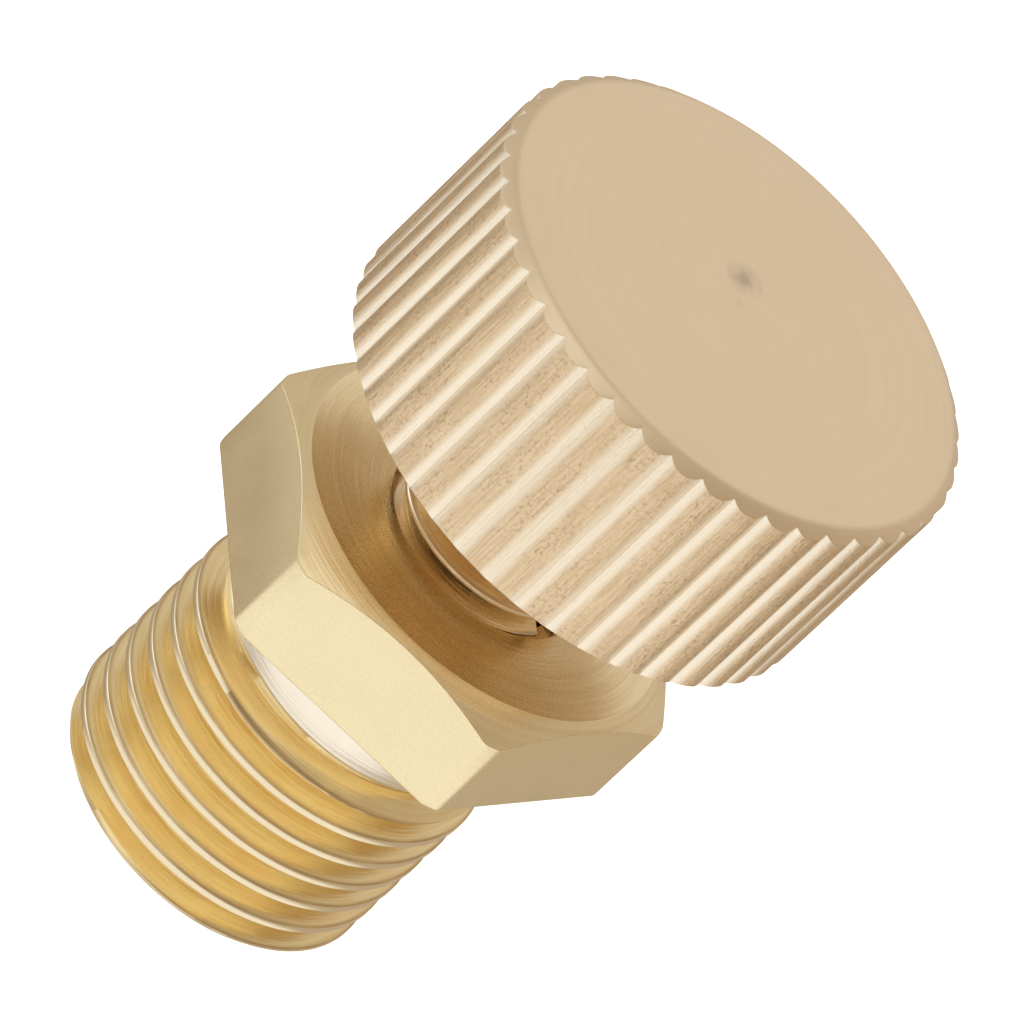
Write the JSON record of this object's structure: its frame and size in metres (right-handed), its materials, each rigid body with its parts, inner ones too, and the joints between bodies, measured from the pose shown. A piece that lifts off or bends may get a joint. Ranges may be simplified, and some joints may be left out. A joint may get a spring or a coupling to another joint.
{
  "type": "needle valve",
  "caption": "Brass needle valve with a male pipe thread, hexagon body and thick straight-knurled knob on a threaded spindle, shown part open.",
  "frame": {"origin": "centre of the male thread's end face, on the valve's axis", "axes": "+Z along the valve's axis towards the knob; the hexagon has a corner on +X and a flat facing +Y and another facing -Y"},
  "size_m": [0.02, 0.02, 0.0305],
  "materials": {
    "body_brass": "as machined, satin",
    "knob_brass": "paler brass, fine satin with a dusty knurl",
    "spindle_brass": "as machined",
    "stainless_steel": "ground",
    "black_steel": "black oxide",
    "ptfe": "machined PTFE",
    "nylon": "moulded nylon",
    "nitrile_rubber": "moulded, greased"
  },
  "bodies": {
    "body": {"valve_body": "body_brass", "seat_ring": "ptfe", "seat_o_ring": "nitrile_rubber", "seat_washer": "stainless_steel", "seat_retainer": "body_brass"},
    "needle_body": {"needle": "stainless_steel"},
    "spindle_body": {"spindle": "spindle_brass", "lock_strip": "nylon", "stop_ring": "stainless_steel", "needle_clip": "stainless_steel", "thrust_ball": "stainless_steel", "knob": "knob_brass", "knob_set_screw": "black_steel"}
  },
  "joints": [
    {"name": "needle_lift", "type": "slide", "parent": "body", "child": "needle_body", "axis": [0, 0, 1], "range_m": [-0.003, 0.001]},
    {"name": "knob_turn", "type": "hinge", "parent": "needle_body", "child": "spindle_body", "pos_m": [0, 0, 0.026], "axis": [0, 0, 1], "range_deg": [-1080, 360]}
  ],
  "couplings": [
    {"joint": "knob_turn", "follows": "needle_lift", "rad_per_m": 6283.2}
  ]
}
